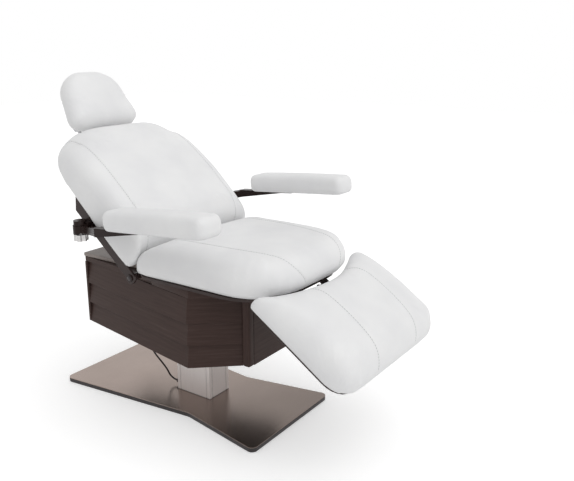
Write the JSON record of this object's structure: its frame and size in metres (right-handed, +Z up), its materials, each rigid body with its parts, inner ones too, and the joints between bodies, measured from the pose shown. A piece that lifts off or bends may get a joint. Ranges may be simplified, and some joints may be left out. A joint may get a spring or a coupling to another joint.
{
  "type": "patient recliner chair",
  "caption": "Powered patient recliner: padded tilting back, head rest, foot rest and swinging arm pads on a slatted cabinet, lifted by a telescopic column on a waisted floor plate.",
  "frame": {"origin": "on the floor under the middle of the floor plate", "axes": "+Z up, -Y towards the patient's feet, -X towards the patient's right hand"},
  "size_m": [0.8768, 1.4337, 1.2133],
  "materials": {
    "leatherette": "white grained leatherette, soft sheen",
    "wenge_laminate": "dark wenge laminate, satin",
    "taupe_laminate": "light taupe laminate, satin",
    "brushed_bronze": "brushed bronze-tinted steel, glossy",
    "black_paint": "black powder coat",
    "dark_brown_paint": "dark brown powder coat, satin",
    "anodised_aluminium": "clear anodised extrusion",
    "zinc_plated_steel": "zinc plated",
    "bright_knob": "satin chromed",
    "black_plastic": "moulded, matt",
    "black_rubber": "matt"
  },
  "bodies": {
    "base": {"floor_plate": "black_paint", "plate_skin": "brushed_bronze", "column_outer": "anodised_aluminium", "lift_nut_tube": "zinc_plated_steel", "lead_foot_gland": "black_rubber", "lead": "black_rubber"},
    "column_mid": {"column_middle": "anodised_aluminium"},
    "chassis": {"column_inner": "anodised_aluminium", "lift_motor": "black_plastic", "lift_screw": "zinc_plated_steel", "chassis_plate": "dark_brown_paint", "cabinet_deck": "wenge_laminate", "rear_top_board": "taupe_laminate", "rear_panel": "wenge_laminate", "front_panel": "wenge_laminate", "corner_post_right": "wenge_laminate", "corner_post_left": "wenge_laminate", "side_slat_right_1": "wenge_laminate", "side_slat_right_2": "wenge_laminate", "side_slat_right_3": "wenge_laminate", "side_slat_left_1": "wenge_laminate", "side_slat_left_2": "wenge_laminate", "side_slat_left_3": "wenge_laminate", "cabinet_floor": "wenge_laminate", "control_box": "black_plastic", "lead_top_gland": "black_rubber", "seat_rail_right": "dark_brown_paint", "seat_rail_left": "dark_brown_paint", "seat_board": "dark_brown_paint", "seat_cushion": "leatherette", "back_bearing_right": "dark_brown_paint", "back_bearing_left": "dark_brown_paint", "foot_ear_right": "dark_brown_paint", "foot_ear_left": "dark_brown_paint", "back_actuator": "black_plastic", "foot_actuator": "black_plastic"},
    "back": {"back_bar_right": "dark_brown_paint", "back_bar_left": "dark_brown_paint", "back_shaft": "zinc_plated_steel", "back_board": "dark_brown_paint", "back_cushion": "leatherette", "head_socket": "black_plastic", "arm_boss_right": "dark_brown_paint", "arm_boss_left": "dark_brown_paint"},
    "back_rod": {"back_rod": "zinc_plated_steel"},
    "head_slide": {"head_yoke": "zinc_plated_steel"},
    "head": {"head_board": "dark_brown_paint", "head_cushion": "leatherette"},
    "arm_right": {"arm_board_right": "black_plastic", "arm_pad_right": "leatherette", "arm_bracket_right": "dark_brown_paint"},
    "arm_left": {"arm_board_left": "black_plastic", "arm_pad_left": "leatherette", "arm_bracket_left": "dark_brown_paint"},
    "knob_right": {"arm_knob_right": "bright_knob"},
    "knob_left": {"arm_knob_left": "bright_knob"},
    "foot": {"foot_board": "dark_brown_paint", "foot_cushion": "leatherette", "foot_frame": "dark_brown_paint"},
    "foot_rod": {"foot_rod": "zinc_plated_steel"}
  },
  "joints": [
    {"name": "lift", "type": "slide", "parent": "base", "child": "chassis", "axis": [0, 0, 1], "range_m": [0, 0.3], "deforming": ["lead"]},
    {"name": "lift_mid", "type": "slide", "parent": "base", "child": "column_mid", "axis": [0, 0, 1], "range_m": [0, 0.15]},
    {"name": "back_tilt", "type": "hinge", "parent": "chassis", "child": "back", "pos_m": [0, 0.03, 0.535], "axis": [-1, 0, 0], "range_deg": [-8.5, 40]},
    {"name": "back_rod_slide", "type": "slide", "parent": "chassis", "child": "back_rod", "axis": [0, -1, 0], "range_m": [-0.018, 0.082]},
    {"name": "head_height", "type": "slide", "parent": "back", "child": "head_slide", "axis": [0, 0.729, 0.6845], "range_m": [0, 0.08]},
    {"name": "head_tilt", "type": "hinge", "parent": "head_slide", "child": "head", "pos_m": [0, 0.4967, 1.024], "axis": [1, 0, 0], "range_deg": [-28, 17]},
    {"name": "arm_swing_right", "type": "hinge", "parent": "back", "child": "arm_right", "pos_m": [-0.306, 0.232, 0.692], "axis": [0, 0, -1], "range_deg": [0, 90]},
    {"name": "arm_swing_left", "type": "hinge", "parent": "back", "child": "arm_left", "pos_m": [0.306, 0.232, 0.692], "axis": [0, 0, 1], "range_deg": [0, 90]},
    {"name": "knob_turn_right", "type": "hinge", "parent": "arm_right", "child": "knob_right", "pos_m": [-0.306, 0.232, 0.68], "axis": [0, 0, 1], "range_deg": [-180, 180]},
    {"name": "knob_turn_left", "type": "hinge", "parent": "arm_left", "child": "knob_left", "pos_m": [0.306, 0.232, 0.68], "axis": [0, 0, 1], "range_deg": [-180, 180]},
    {"name": "foot_tilt", "type": "hinge", "parent": "chassis", "child": "foot", "pos_m": [0, -0.495, 0.52], "axis": [1, 0, 0], "range_deg": [-8, 45]},
    {"name": "foot_rod_slide", "type": "slide", "parent": "chassis", "child": "foot_rod", "axis": [0, 1, 0], "range_m": [-0.013, 0.072]}
  ],
  "couplings": [
    {"joint": "lift_mid", "follows": "lift", "ratio": 0.5},
    {"joint": "back_rod_slide", "follows": "back_tilt", "m_per_rad": 0.116},
    {"joint": "foot_rod_slide", "follows": "foot_tilt", "m_per_rad": 0.089}
  ]
}
